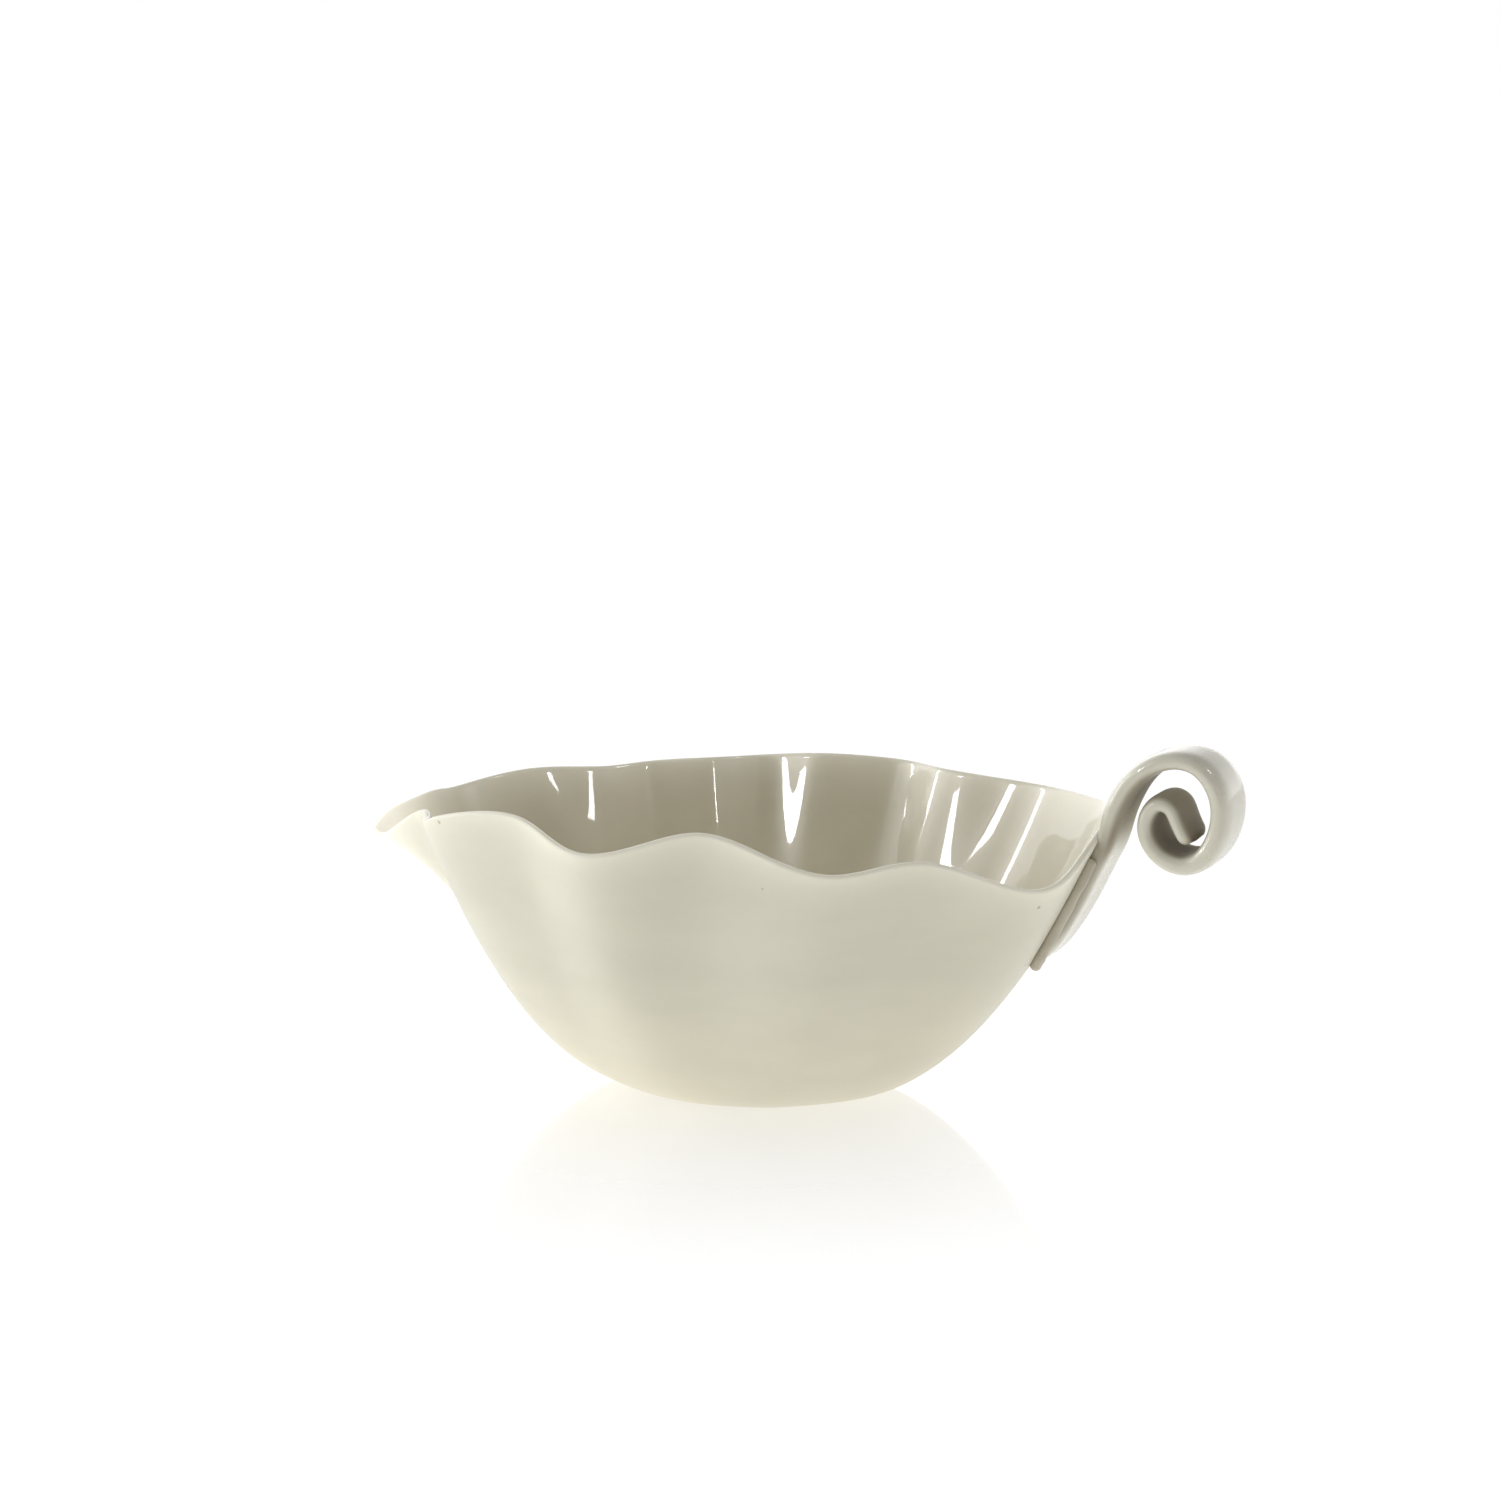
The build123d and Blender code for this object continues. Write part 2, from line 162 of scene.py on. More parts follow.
class HandleSettings(bpy.types.PropertyGroup):
    """Sizes of the strap and its scroll"""
    thickness: length("Thickness", "Strap thickness at its fullest", 4.4)
    width: length("Width", "Strap width at its fullest", 15.5)
    pivot_in: length("Pivot", "The turn's pivot lies this far in from the end of the mouth", 18.0)
    turned: turn("Turn", "How far the strap is turned about the vertical", -9.0)
    groove: length("Groove", "Depth of the thumb groove", 0.5)
    root_sink: share("Root sink", "Share of the wall that the root keys into", 0.6, 0.0, 0.9)
    press_top: share("Dish top", "Share of the rim height above which the dish stays as it is", 0.9)
    neck_start: length("Neck start", "The dish begins to die away this far before the neck", 2.0)
    neck_fade: length("Neck fade", "And is gone after this length of strap", 13.0)
    scroll_reach: share("Scroll reach", "The scroll stands out by this many thicknesses", 5.727)
    tip_round: length("Tongue round", "Length of the rounded tongue end", 2.2)
    tail_round: length("Tail round", "Length of the rounded tail end", 1.2)
    edge_power: share("Edge bluntness", "Power of the section across, 1 for an ellipse", 0.5)
    face_power: share("Face flatness", "Power of the section through, 1 for an ellipse", 0.8)
    end_width: share("End width", "Share of the width left at the very ends", 0.55)
    skin_inset: length("Skin inset", "The glazed skin lies this far inside the solid", 0.01)
    steps_along: IntProperty(name="Steps along", description="Rings along the strap",
                             default=420, min=60, max=900)
    steps_around: IntProperty(name="Steps around", description="Points round the section",
                              default=72, min=12, max=180)


class SlipSettings(bpy.types.PropertyGroup):
    """Sizes of the bead of slip"""
    radius: length("Bead radius", "Radius of the bead of slip", 1.2)
    bite: length("Bite", "How far the bead keys into the wall", 0.35)
    slimness: share("Slimness", "Share of the solid bead's radius that the skin keeps", 0.97)
    steps_along: IntProperty(name="Steps along", description="Rings along the bead",
                             default=260, min=60, max=900)
    steps_around: IntProperty(name="Steps around", description="Points round the bead",
                              default=24, min=8, max=90)


class GlazeSettings(bpy.types.PropertyGroup):
    """Colours and gloss of the porcelain"""
    body: colour("Porcelain", "Colour of the satin outside", (0.76, 0.745, 0.635))
    inner: colour("Inner glaze", "Colour of the glossy inside", (0.77, 0.745, 0.62))
    # Painted light: the warm foot colour, fading out at the warm height, stands in for floor
    # bounce.
    warm: colour("Warm foot", "Colour toward the foot", (0.80, 0.755, 0.615))
    # Painted shade: this colour darkens the strap's hollows and undersides where shade falls.
    painted_shade: colour("Pooled glaze", "Colour where glaze pooled on the handle", (0.34, 0.295, 0.22))
    slip: colour("Slip", "Colour of the bead of slip", (0.46, 0.42, 0.34))
    speck: colour("Speck", "Colour of the tiny pits", (0.42, 0.39, 0.33))
    satin: share("Satin roughness", "Roughness of the outside", 0.42, 0.0, 1.0)
    under_glaze: share("Inner roughness", "Roughness of the clay under the glaze", 0.30, 0.0, 1.0)
    gloss: share("Gloss roughness", "Roughness of the glaze itself", 0.03, 0.0, 1.0)
    warm_height: length("Warm height", "The warm foot colour fades out at this height", 38.0)
    # Painted light: an emission on the spout and rim stands in for light through the thin clay.
    painted_lip_glow: share("Lip glow", "Light that shines through the thin lip", 0.5, 0.0, 5.0)


class StageSettings(bpy.types.PropertyGroup):
    """Floor and camera"""
    floor_half: FloatProperty(name="Floor half size", description="Half the width of the floor",
                              default=6.0, subtype="DISTANCE", unit="LENGTH")
    azimuth: turn("Camera azimuth", "Round from the front toward the handle", 15.0)
    elevation: turn("Camera elevation", "Above the horizon", 11.0)
    distance: FloatProperty(name="Camera distance", description="From the point aimed at",
                            default=0.9, subtype="DISTANCE", unit="LENGTH")
    lens: FloatProperty(name="Lens", description="Focal length in millimetres on a 36 mm frame",
                        default=99.0)
    aim_height: length("Aim height", "Height of the point aimed at", 75.2)


SETTINGS = {
    "boat_bowl": BowlSettings,
    "boat_handle": HandleSettings,
    "boat_slip": SlipSettings,
    "boat_glaze": GlazeSettings,
    "boat_stage": StageSettings,
}


# ---- curves through stations ----

def blend_cubic(s, low, high, slope_low, slope_high):
    """Cubic between two values with given end slopes, s from 0 to 1."""
    ends = low * (1 + 2 * s) * (1 - s) ** 2 + high * s * s * (3 - 2 * s)
    return ends + slope_low * s * (1 - s) ** 2 + slope_high * s * s * (s - 1)


def ring_spline(stations, column, azimuth):
    """Periodic cubic in azimuth through one column of the stations, smooth to its curvature."""
    table = np.array(stations, float)
    knots, values = table[:, 0], table[:, column]
    steps = np.append(np.diff(knots), knots[0] + 360 - knots[-1])
    before, after = np.roll(steps, 1), steps
    rise = (np.roll(values, -1) - values) / after
    eye = np.eye(len(knots))
    matrix = (eye * (2 * (before + after))[:, None] + np.roll(eye, -1, 1) * after[:, None]
              + np.roll(eye, 1, 1) * before[:, None])
    slopes = np.linalg.solve(matrix, 3 * (before * rise + after * np.roll(rise, 1)))
    turned = np.mod(azimuth - knots[0], 360)
    left = np.append(0, np.cumsum(steps[:-1]))
    k = np.searchsorted(left, turned, side="right") - 1
    nxt = (k + 1) % len(knots)
    h = steps[k]
    s = (turned - left[k]) / h
    return blend_cubic(s, values[k], values[nxt], h * slopes[k], h * slopes[nxt])


def bump_spline(stations, column, azimuth):
    """Smooth steps through the stations, zero beyond the first and the last."""
    table = np.array(stations, float)
    knots, values = table[:, 0], table[:, column]
    slopes = np.gradient(values, knots)
    slopes[[0, -1]] = 0
    a = np.clip(azimuth, knots[0], knots[-1])
    k = np.clip(np.searchsorted(knots, a, side="right") - 1, 0, len(knots) - 2)
    h = knots[k + 1] - knots[k]
    s = (a - knots[k]) / h
    return blend_cubic(s, values[k], values[k + 1], h * slopes[k], h * slopes[k + 1])


def path_spline(stations, count):
    """Cubic by chord length through rows of stations, and the run along it, evenly spaced."""
    p = np.array(stations, float)
    h = np.linalg.norm(np.diff(p[:, :2], axis=0), axis=1)
    size = len(p)
    rise = np.diff(p, axis=0) / h[:, None]
    matrix = np.diag(np.r_[2.0, 2 * (h[:-1] + h[1:]), 2.0])
    inner = np.arange(1, size - 1)
    matrix[inner, inner - 1] = h[1:]
    matrix[inner, inner + 1] = h[:-1]
    matrix[0, 1] = matrix[-1, -2] = 1
    middle = 3 * (h[1:, None] * rise[:-1] + h[:-1, None] * rise[1:])
    slopes = np.linalg.solve(matrix, np.vstack([3 * rise[:1], middle, 3 * rise[-1:]]))
    run = np.append(0, np.cumsum(h))
    u = np.linspace(0, run[-1], count)
    k = np.clip(np.searchsorted(run, u, side="right") - 1, 0, size - 2)
    hk = h[k][:, None]
    s = (u - run[k])[:, None] / hk
    return blend_cubic(s, p[k], p[k + 1], hk * slopes[k], hk * slopes[k + 1]), u


# ---- the bowl's surface, in millimetres ----

def ellipse_radius(long_way, wide_way, azimuth):
    """Radius of an ellipse at an azimuth in degrees."""
    a = np.radians(azimuth)
    return 1 / np.sqrt((np.cos(a) / (long_way / 2)) ** 2 + (np.sin(a) / (wide_way / 2)) ** 2)


def outer_wall(b, azimuth, t):
    """Outer face: a straight share t from the foot ellipse to the mouth ellipse in plan, plus the
    flutes times t to their fade and the spout times t to its own; the height is the rim height
    there times (slope t + (1 - slope) t^power) of the belly, less the spout's drop."""
    a = np.radians(azimuth)
    foot = ellipse_radius(b.foot_length / MM, b.foot_width / MM, azimuth)
    mouth = ellipse_radius(b.mouth_length / MM, b.mouth_width / MM, azimuth)
    push = (ring_spline(FLUTES, 1, azimuth) * t ** b.wall_fade
            + b.spout_reach / MM * bump_spline(SPOUT, 1, azimuth) * t ** b.spout_fade)
    radius = foot + (mouth - foot) * t + push
    height = b.rim_height / MM + ring_spline(FLUTES, 2, azimuth) - b.wall_rim / MM / 2
    rise = b.belly_slope * t + (1 - b.belly_slope) * t ** b.belly_power
    drop = b.spout_drop / MM * bump_spline(SPOUT, 2, azimuth) * t ** b.spout_fade
    z = height * rise - drop
    x = radius * np.cos(a) + b.mouth_shift / MM * t
    return np.stack([x, radius * np.sin(a), z + 0 * x], -1)


def unit(v):
    """Vectors scaled to length one."""
    return v / np.linalg.norm(v, axis=-1, keepdims=True)


def wall_frame(b, azimuth, t):
    """Point, outward normal and upward direction, from small steps round and up the wall."""
    point = outer_wall(b, azimuth, t)
    around = outer_wall(b, azimuth + 0.05, t) - outer_wall(b, azimuth - 0.05, t)
    up = outer_wall(b, azimuth, t + 0.002) - outer_wall(b, azimuth, np.maximum(t - 0.002, 0.0))
    return point, unit(np.cross(around, up)), unit(up)


def ring_azimuths(b, count):
    """Azimuths spaced evenly along the rim, so that the narrow spout gets its share."""
    fine = np.linspace(0, 360, 7201)
    rim = outer_wall(b, np.mod(fine, 360), 1.0)
    run = np.append(0, np.cumsum(np.linalg.norm(np.diff(rim, axis=0), axis=1)))
    return np.interp(np.arange(count) / count * run[-1], run, fine)


def hand_hollows(azimuth, t, seed):
    """Shallow hollows left by fingers: half, plus 0.3 of a sum of products of two waves, each the
    sine of its turns round, its turns up the wall and what it takes of the seed, held 0 to 1."""
    a = np.radians(azimuth)
    waves = 0.0
    for height, *pair in HOLLOWS:
        first, second = (np.sin(round_it * a + up_it * t + taken * seed)
                         for round_it, up_it, taken in pair)
        waves = waves + height * first * second
    return np.clip(0.5 + 0.3 * waves, 0, 1)


def wall_thickness(b, t):
    """From the lip's thickness to the base's with the square of the way down."""
    return (b.wall_rim + (b.wall_base - b.wall_rim) * (1 - t) ** 2) / MM


def bowl_surface(b):
    """Closed skin of the bowl as rows of rings: foot disc, outer wall, half-round lip, inner wall,
    inner floor. The faces lie off the plain wall by the inset and the hollows, times the root of
    the sine of the level so that foot and rim stay true. Returns the rows in millimetres, how far
    inside each ring lies, 0 to 1, and the share of painted glow at each point, where the clay of
    the spout and rim is thin, 0 to 1."""
    azimuth = ring_azimuths(b, b.steps_around)[None, :]
    count = b.steps_up
    even = np.linspace(0, 1, count)
    levels = (1 - (1 - even) ** 1.35)[:, None]
    depth = b.unevenness / MM
    swell = np.sin(np.pi * np.clip(levels, 0, 1)) ** 0.5

    point, normal, _ = wall_frame(b, azimuth, levels)
    inset = b.skin_inset / MM
    sunk = inset + depth * swell * hand_hollows(azimuth, levels, 0.6)
    outer = point - normal * sunk[..., None]
    outer[0, :, 2] = 0.0
    down = levels[::-1]
    point, normal, up = wall_frame(b, azimuth, down)
    inside = point - normal * wall_thickness(b, down)[..., None]
    raised = depth * swell[::-1] * hand_hollows(azimuth, down, 2.9)
    inside = inside + normal * raised[..., None]

    top, out, rise = point[:1], normal[:1], up[:1]
    half = b.wall_rim / MM / 2
    lip_turn = np.linspace(0, np.pi, b.steps_lip + 2)[1:-1][:, None, None]
    lip = top - out * half + (half - inset) * (out * np.cos(lip_turn) + rise * np.sin(lip_turn))

    shrink = np.array(DISC_RINGS)[:, None, None]
    foot_disc = outer[:1] * shrink
    floor_disc = inside[-1:] * np.array([1.0, 1.0, 0.0]) * shrink[::-1]
    floor_disc = floor_disc + np.array([0.0, 0.0, 1.0]) * inside[-1:][..., 2:]
    rows = np.concatenate([foot_disc, outer, lip, inside, floor_disc])
    over_lip = np.linspace(0, 1, len(lip) + 2)[1:-1]
    within = np.concatenate([np.zeros(len(foot_disc) + count), over_lip,
                             np.ones(count + len(floor_disc))])
    level = np.concatenate([np.zeros(len(foot_disc)), levels[:, 0], np.ones(len(lip)),
                            down[:, 0], np.zeros(len(floor_disc))])
    # Painted glow: the share of emission that stands in for light through the thin spout and rim.
    thin = bump_spline(SPOUT, 1, azimuth) * level[:, None] ** 5 + 0.25 * level[:, None] ** 30
    return rows, within, np.clip(thin, 0, 1)


# ---- the strap's surface, in millimetres ----

def root_wall(b, h):
    """The outer wall round the root in the handle's own plane, before the handle is turned."""
    azimuth = np.linspace(-30, 30, 121)
    grid = outer_wall(b, azimuth[None, :], np.linspace(0.4, 1.0, 401)[:, None])
    pivot = (b.mouth_length / 2 - h.pivot_in) / MM
    c, s = math.cos(-h.turned), math.sin(-h.turned)
    out = grid[..., 0] - pivot
    x = pivot + out * c - grid[..., 1] * s
    return azimuth, x, out * s + grid[..., 1] * c, grid[..., 2]


def wall_lines(wall, z):
    """The wall at a list of heights: how far across and out each azimuth lies."""
    _, x, y, height = wall
    across = np.stack([np.interp(z, h, v) for h, v in zip(height.T, y.T)], -1)
    out = np.stack([np.interp(z, h, v) for h, v in zip(height.T, x.T)], -1)
    return across, out


def read_lines(at, across, values):
    """Read one row of values at each row of places across."""
    return np.stack([np.interp(a, x, v) for a, x, v in zip(at, across, values)])


def handle_stations(b, h, wall):
    """Middle of the strap: its root stands on the wall, half its thickness out less the sink,
    measured square to the wall; its scroll goes on from the neck."""
    root = np.array(HANDLE_ROOT)
    z = root[:, 0] * b.rim_height / MM
    middle = np.zeros((len(z), 1))
    here = read_lines(middle, *wall_lines(wall, z))[:, 0]
    below = read_lines(middle, *wall_lines(wall, z - 1))[:, 0]
    off = root[:, 2] * h.thickness / MM / 2 - root[:, 3] * h.root_sink * b.wall_rim / MM
    x = here + off * np.hypot(1, here - below)
    scroll = np.array(HANDLE_SCROLL)
    reach = h.scroll_reach * h.thickness / MM
    x = np.append(x, x[-1] + scroll[:, 0] * reach)
    z = np.append(z, z[-1] + scroll[:, 1] * reach)
    width = np.append(root[:, 1], scroll[:, 2])
    thickness = np.append(root[:, 2], scroll[:, 3])
    return np.column_stack([x, z, width, thickness])


def signed_power(value, power):
    """The size of a value to a power, with the value's own sign."""
    return np.sign(value) * np.abs(value) ** power


def strap_surface(b, h):
    """A rounded strap section, cosine and sine each to a power, carried square across the path in
    the XZ plane. The root's inner face is dished to the wall, the outer face keeps its plane and
    has a shallow groove, both ends close in a round, and the whole is turned about the pivot.
    Returns the rows in millimetres and the share of painted shade at each point."""
    wall = root_wall(b, h)
    stations = handle_stations(b, h, wall)
    rows, run = path_spline(stations, h.steps_along)
    neck = np.linalg.norm(np.diff(stations[:len(HANDLE_ROOT), :2], axis=0), axis=1).sum()
    tangent = unit(np.gradient(rows[:, :2], run, axis=0))
    side = np.column_stack([tangent[:, 1], -tangent[:, 0]])
    angle = 2 * np.pi * np.arange(h.steps_around) / h.steps_around
    across = signed_power(np.cos(angle), h.edge_power)[None, :]
    through = signed_power(np.sin(angle), h.face_power)[None, :]
    end = np.sqrt(1 - np.clip(1 - (run[-1] - run) * MM / h.tip_round, 0, 1) ** 2)
    start = np.sqrt(1 - np.clip(1 - run * MM / h.tail_round, 0, 1) ** 2)
    close = np.minimum(end, start)[:, None]
    shut = np.clip(close / 0.05, 0, 1)
    narrowed = (h.end_width + (1 - h.end_width) * close) * shut
    half_width = rows[:, 2:3] * h.width / MM * narrowed / 2
    half_thick = rows[:, 3:4] * (h.thickness - 2 * h.skin_inset) / MM * close / 2
    groove = h.groove / MM * close * (1 - across ** 2) ** 2 * (through > 0)
    leave = np.clip((run - neck + h.neck_start / MM) * MM / h.neck_fade, 0, 1)[:, None]
    dished = 1 - leave * leave * (3 - 2 * leave)
    lines, wall_out = wall_lines(wall, np.minimum(rows[:, 1], h.press_top * b.rim_height / MM))
    y = half_width * across
    dish = read_lines(y, lines, wall_out) - read_lines(0 * y[:, :1], lines, wall_out)
    off = through * half_thick - groove + dish * (1 - through) / 2 * side[:, :1] * dished
    pivot = (b.mouth_length / 2 - h.pivot_in) / MM
    out = rows[:, :1] + side[:, :1] * off - pivot
    z = rows[:, 1:2] + side[:, 1:] * off
    c, s = math.cos(h.turned), math.sin(h.turned)
    surface = np.stack([pivot + out * c - y * s, out * s + y * c, z], -1)
    return surface, painted_shade(run, across, through)


def window(value, low, full, back, gone):
    """0 below low, 1 from full to back, 0 beyond gone, smooth between."""
    rise = np.clip((value - low) / (full - low), 0, 1)
    fall = np.clip((gone - value) / (gone - back), 0, 1)
    return rise * rise * (3 - 2 * rise) * fall * fall * (3 - 2 * fall)


def painted_shade(run, across, through):
    """Painted shade, 0 to 1, where the strap's hollows and undersides fall in shade: the sum of a
    window along the run times a ramp over the section, for the hollow of the scroll, the back of
    the tongue, the underside of the neck and the near edge of the root."""
    part = (run / run[-1])[:, None]
    hollow = window(part, 0.44, 0.62, 0.93, 0.99) * np.clip(through * 3.4 - 2.1, 0, 1)
    back = 0.8 * window(part, 0.84, 0.89, 1.0, 1.01) * np.clip(-through * 3.0 - 1.6, 0, 1)
    neck = 0.8 * window(part, 0.22, 0.31, 0.40, 0.48) * np.clip(through * 2.4 - 0.5, 0, 1)
    edge = 0.6 * window(part, 0.02, 0.10, 0.25, 0.32) * np.clip(-3.2 * across - 2.0, 0, 1)
    return np.clip(hollow + back + neck + edge, 0, 1)


def wall_at(b, azimuth, z):
    """Point and outward normal of the outer wall at given azimuths and heights."""
    levels = np.linspace(0.4, 1.0, 601)
    heights = outer_wall(b, azimuth[:, None], levels[None, :])[..., 2]
    t = levels[np.argmin(np.abs(heights - z[:, None]), axis=1)]
    point, normal, _ = wall_frame(b, azimuth, t)
    return point, normal


def soften(values, width):
    """Columns smoothed along their length with a rounded window, the ends held."""
    weights = np.hanning(width) / np.hanning(width).sum()
    padded = np.pad(values, ((width // 2, width // 2), (0, 0)), mode="edge")
    return np.stack([np.convolve(c, weights, mode="valid") for c in padded.T], -1)


def slip_surface(b, h, slip):
    """A round bead carried along a line on the outer wall, its middle one radius less the bite
    off the wall, its radius swelling a little with two slow sines, closed in a round at both
    ends."""
    wall = root_wall(b, h)
    table = np.array(SLIP_PATH)
    at = np.linspace(0, len(table) - 1, slip.steps_along)
    even = np.stack([np.interp(at, np.arange(len(table)), c) for c in table.T], -1)
    across, height, swell = soften(even, 25).T
    z = height * b.rim_height / MM
    lines, _ = wall_lines(wall, z)
    azimuths = np.broadcast_to(wall[0], lines.shape)
    azimuth = read_lines((across * h.width / MM / 2)[:, None], lines, azimuths)[:, 0]
    point, normal = wall_at(b, azimuth, z)
    point = soften(point, 15)
    radius = slip.radius / MM * swell * (1 + 0.06 * np.sin(at * 2.3) + 0.05 * np.sin(at * 5.1 + 1))
    middle = point + normal * ((slip.radius - slip.bite) / MM)
    ahead = unit(np.gradient(middle, axis=0))
    sideways = unit(np.cross(ahead, normal))
    outward = np.cross(sideways, ahead)
    run = np.append(0, np.cumsum(np.linalg.norm(np.diff(middle, axis=0), axis=1)))
    near_end = np.clip(np.minimum(run, run[-1] - run) / radius, 0, 1)
    radius = radius * np.sqrt(np.clip(1 - (1 - near_end) ** 2, 0, 1)) * slip.slimness
    angle = (2 * np.pi * np.arange(slip.steps_around) / slip.steps_around)[None, :, None]
    ring = np.cos(angle) * outward[:, None] + np.sin(angle) * sideways[:, None]
    return middle[:, None] + radius[:, None, None] * ring


# ---- meshes ----

def skin(name, rows):
    """Rows of rings joined into one closed mesh, with a pole at the middle of each end ring."""
    height, around = rows.shape[:2]
    poles = np.stack([rows[0].mean(axis=0), rows[-1].mean(axis=0)])
    points = np.concatenate([rows.reshape(-1, 3), poles]) * MM
    index = np.arange(height * around).reshape(height, around)
    nxt = np.roll(index, -1, axis=1)
    quads = np.stack([index[:-1], nxt[:-1], nxt[1:], index[1:]], -1).reshape(-1, 4)
    first, last = height * around, height * around + 1
    low = np.stack([nxt[0], index[0], np.full(around, first)], -1)
    high = np.stack([index[-1], nxt[-1], np.full(around, last)], -1)
    corners = np.concatenate([quads.ravel(), low.ravel(), high.ravel()])
    sizes = np.concatenate([np.full(len(quads), 4), np.full(2 * around, 3)])
    mesh = bpy.data.meshes.new(name)
    mesh.vertices.add(len(points))
    mesh.vertices.foreach_set("co", points.ravel())
    mesh.loops.add(len(corners))
    mesh.loops.foreach_set("vertex_index", corners)
    mesh.polygons.add(len(sizes))
    mesh.polygons.foreach_set("loop_start", np.append(0, np.cumsum(sizes)[:-1]))
    mesh.update(calc_edges=True)
    column = np.tile(np.arange(around) / around, (height, 1))
    ahead = np.tile(np.arange(1, around + 1) / around, (height, 1))
    up = np.repeat(np.linspace(0.01, 0.99, height)[:, None], around, axis=1)
    quad_uv = np.stack([np.stack([column[:-1], up[:-1]], -1), np.stack([ahead[:-1], up[:-1]], -1),
                        np.stack([ahead[1:], up[1:]], -1), np.stack([column[1:], up[1:]], -1)], 2)
    centre = (column[0] + ahead[0]) / 2
    low_uv = np.stack([np.stack([ahead[0], up[0]], -1), np.stack([column[0], up[0]], -1),
                       np.stack([centre, 0 * centre], -1)], 1)
    high_uv = np.stack([np.stack([column[0], up[-1]], -1), np.stack([ahead[0], up[-1]], -1),
                        np.stack([centre, 0 * centre + 1], -1)], 1)
    layer = mesh.uv_layers.new(name="skin")
    layer.data.foreach_set("uv", np.concatenate([quad_uv.ravel(), low_uv.ravel(), high_uv.ravel()]))
    mesh.polygons.foreach_set("use_smooth", np.ones(len(sizes), bool))
    if mesh.validate():
        raise RuntimeError(f"the faces of {name} don't join up")
    return mesh


def mark(mesh, name, per_point, ends):
    """Write one value per point, rows first and then both poles, as a float attribute."""
    values = np.concatenate([per_point.ravel(), ends])
    attribute = mesh.attributes.new(name=name, type="FLOAT", domain="POINT")
    attribute.data.foreach_set("value", values.astype(np.float32))


def place(name, mesh, material, node):
    """Link a finished piece, stand it in for its CAD node and let it ride with the body."""
    piece = bpy.data.objects.new(name, mesh)
    bpy.context.scene.collection.objects.link(piece)
    mesh.materials.append(material)
    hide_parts(node)
    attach(piece, "root")
    return piece


# ---- materials ----

def new_group(name, inputs, outputs):
    """A shader node group with named float or colour sockets."""
    group = bpy.data.node_groups.new(name, "ShaderNodeTree")
    for label, kind, value in inputs:
        socket = group.interface.new_socket(label, in_out="INPUT", socket_type=kind)
        socket.default_value = value
    for label, kind in outputs:
        group.interface.new_socket(label, in_out="OUTPUT", socket_type=kind)
    entry = group.nodes.new("NodeGroupInput")
    leave = group.nodes.new("NodeGroupOutput")
    return group, entry, leave


def add(tree, kind, **settings):
    """A node with its properties set by name and its inputs by number or label."""
    node = tree.nodes.new(kind)
    values = settings.pop("inputs", {})
    for key, value in settings.items():
        setattr(node, key, value)
    for key, value in values.items():
        node.inputs[key].default_value = value
    return node


def smear_group():
    """Slow mottling and fine tooth of a hand-smoothed clay skin, read from Object coordinates."""
    if "hand_smoothing" in bpy.data.node_groups:
        return bpy.data.node_groups["hand_smoothing"]
    group, entry, leave = new_group(
        "hand_smoothing",
        [("Patch Scale", "NodeSocketFloat", 22.0), ("Tooth Scale", "NodeSocketFloat", 700.0),
         ("Tooth Share", "NodeSocketFloat", 0.3)],
        [("Mottle", "NodeSocketFloat"), ("Height", "NodeSocketFloat")])
    where = add(group, "ShaderNodeTexCoord")
    flat = add(group, "ShaderNodeMapping", inputs={"Scale": (1.0, 1.0, 2.6)})
    patch = add(group, "ShaderNodeTexNoise", inputs={"Detail": 4.0, "Roughness": 0.6})
    tooth = add(group, "ShaderNodeTexNoise", inputs={"Detail": 2.0, "Roughness": 0.6})
    group.links.new(where.outputs["Object"], flat.inputs["Vector"])
    group.links.new(flat.outputs["Vector"], patch.inputs["Vector"])
    group.links.new(where.outputs["Object"], tooth.inputs["Vector"])
    group.links.new(entry.outputs["Patch Scale"], patch.inputs["Scale"])
    group.links.new(entry.outputs["Tooth Scale"], tooth.inputs["Scale"])
    part = add(group, "ShaderNodeMix", data_type="FLOAT")
    group.links.new(entry.outputs["Tooth Share"], part.inputs["Factor"])
    group.links.new(patch.outputs["Fac"], part.inputs["A"])
    group.links.new(tooth.outputs["Fac"], part.inputs["B"])
    group.links.new(patch.outputs["Fac"], leave.inputs["Mottle"])
    group.links.new(part.outputs["Result"], leave.inputs["Height"])
    return group


